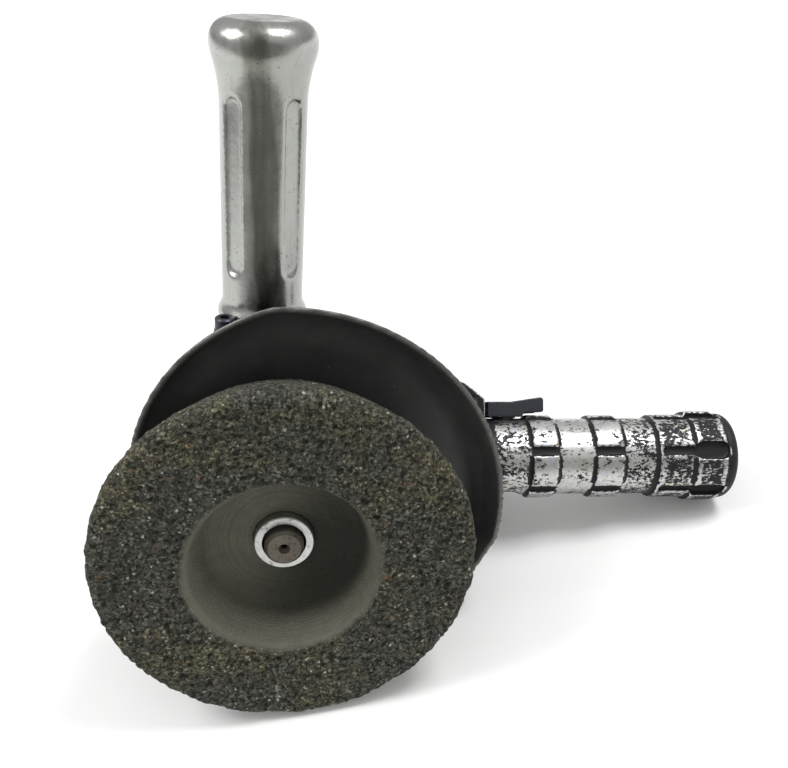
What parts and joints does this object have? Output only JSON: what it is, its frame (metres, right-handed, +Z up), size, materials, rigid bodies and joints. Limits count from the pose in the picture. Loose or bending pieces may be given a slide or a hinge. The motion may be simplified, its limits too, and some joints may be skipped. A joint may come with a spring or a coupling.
{
  "type": "vertical air grinder",
  "caption": "Vertical air grinder with a flaring cup wheel, dished half guard, upright aluminium dead handle and a black throttle handle with a short lever.",
  "frame": {"origin": "centre of the bounding box at floor level, with the tool resting on the wheel's rim, the rear cap's edge and the throttle handle's end", "axes": "+Z up, +X along the long way, towards the throttle handle's end, -Y towards the wheel's face, which looks a little upwards"},
  "size_m": [0.2925, 0.175, 0.2482],
  "materials": {
    "plain_steel": "machined and lightly oiled",
    "abrasive_stone": "coarse dark grit in a resin bond, worn, with brown patches",
    "black_paint": "smooth black paint, edges worn bright",
    "worn_black_paint": "black paint worn through to bright metal on the raised grip",
    "black_steel": "blued steel with a faint blue sheen",
    "cast_aluminium": "cast, polished by handling, scratched and pitted",
    "bushing_steel": "flat bright face with fine specks",
    "brass": "turned",
    "felt": "pressed felt",
    "seal_rubber": "moulded",
    "gasket_paper": "oiled fibre",
    "vane_laminate": "cloth laminate"
  },
  "bodies": {
    "grinder_body": {"front_bearing_outer_race": "plain_steel", "rear_bearing_outer_race": "plain_steel", "cylinder_liner": "plain_steel", "liner_dowel": "plain_steel", "front_end_plate": "plain_steel", "rear_end_plate": "plain_steel", "nose_housing": "black_paint", "nose_gasket": "gasket_paper", "nose_screws": "black_steel", "dust_seal": "felt", "seal_washer": "plain_steel", "motor_housing": "black_paint", "rear_gasket": "gasket_paper", "rear_cap": "black_paint", "rear_cap_screws": "black_steel", "oil_plug": "black_steel", "dead_handle_socket": "black_paint", "dead_socket_screws": "black_steel", "dead_handle_stud": "plain_steel", "dead_handle": "cast_aluminium", "throttle_handle": "worn_black_paint", "throttle_handle_screws": "black_steel", "lever_pin": "black_steel", "plunger_bushing": "black_steel", "plunger_seal": "seal_rubber", "valve_spring": "plain_steel", "valve_cap": "black_steel", "air_inlet_bushing": "black_steel", "inlet_strainer": "brass"},
    "spindle": {"spindle": "plain_steel", "rotor": "plain_steel", "rotor_key": "plain_steel", "back_flange": "plain_steel", "grinding_wheel": "abrasive_stone", "wheel_bushing": "bushing_steel", "front_bearing_inner_race": "plain_steel", "rear_bearing_inner_race": "plain_steel", "spindle_locknut": "plain_steel"},
    "front_ball_set": {"front_bearing_cage": "brass", "front_bearing_balls": "plain_steel"},
    "rear_ball_set": {"rear_bearing_cage": "brass", "rear_bearing_balls": "plain_steel"},
    "vane_a": {"vane_1": "vane_laminate"},
    "vane_b": {"vane_2": "vane_laminate"},
    "vane_c": {"vane_3": "vane_laminate"},
    "vane_d": {"vane_4": "vane_laminate"},
    "guard": {"wheel_guard": "black_paint", "guard_clamp_band": "black_paint", "guard_clamp_screw": "black_steel", "guard_clamp_nut": "black_steel"},
    "deflector": {"exhaust_deflector": "black_paint"},
    "lever": {"throttle_lever": "black_steel"},
    "plunger": {"throttle_plunger": "plain_steel"},
    "valve": {"throttle_valve": "brass"}
  },
  "joints": [
    {"name": "spindle_spin", "type": "hinge", "parent": "grinder_body", "child": "spindle", "pos_m": [-0.07007, -0.0714, 0.07586], "axis": [0, -0.9751, 0.2217], "continuous": true},
    {"name": "front_balls_roll", "type": "hinge", "parent": "grinder_body", "child": "front_ball_set", "pos_m": [-0.07007, -0.0714, 0.07586], "axis": [0, -0.9751, 0.2217], "continuous": true},
    {"name": "rear_balls_roll", "type": "hinge", "parent": "grinder_body", "child": "rear_ball_set", "pos_m": [-0.07007, -0.0714, 0.07586], "axis": [0, -0.9751, 0.2217], "continuous": true},
    {"name": "vane_a_slide", "type": "slide", "parent": "spindle", "child": "vane_a", "axis": [0.9855, -0.0376, -0.1652], "range_m": [0, 0.0009]},
    {"name": "vane_b_slide", "type": "slide", "parent": "spindle", "child": "vane_b", "axis": [0.1694, 0.2185, 0.961], "range_m": [0, 0.0009]},
    {"name": "vane_c_slide", "type": "slide", "parent": "spindle", "child": "vane_c", "axis": [-0.9855, 0.0376, 0.1652], "range_m": [0, 0.0009]},
    {"name": "vane_d_slide", "type": "slide", "parent": "spindle", "child": "vane_d", "axis": [-0.1694, -0.2185, -0.961], "range_m": [0, 0.0009]},
    {"name": "guard_turn", "type": "hinge", "parent": "grinder_body", "child": "guard", "pos_m": [-0.07007, -0.0714, 0.07586], "axis": [0, -0.9751, 0.2217], "range_deg": [0, 60]},
    {"name": "deflector_turn", "type": "hinge", "parent": "grinder_body", "child": "deflector", "pos_m": [-0.07007, -0.0714, 0.07586], "axis": [0, -0.9751, 0.2217], "range_deg": [-60, 60]},
    {"name": "lever_press", "type": "hinge", "parent": "grinder_body", "child": "lever", "pos_m": [0.0204, 0.02641, 0.06065], "axis": [-0.0847, 0.7352, -0.6725], "range_deg": [0, 3], "stiffness_Nm_per_rad": 1.2, "springref_deg": -2.86},
    {"name": "plunger_slide", "type": "slide", "parent": "grinder_body", "child": "plunger", "axis": [-0.1467, -0.6768, -0.7214], "range_m": [0, 0.001]},
    {"name": "valve_slide", "type": "slide", "parent": "grinder_body", "child": "valve", "axis": [-0.1467, -0.6768, -0.7214], "range_m": [0, 0.001], "deforming": ["valve_spring"]}
  ],
  "couplings": [
    {"joint": "front_balls_roll", "follows": "spindle_spin", "ratio": 0.384},
    {"joint": "rear_balls_roll", "follows": "spindle_spin", "ratio": 0.384},
    {"joint": "plunger_slide", "follows": "lever_press", "m_per_rad": 0.018},
    {"joint": "valve_slide", "follows": "lever_press", "m_per_rad": 0.018}
  ]
}
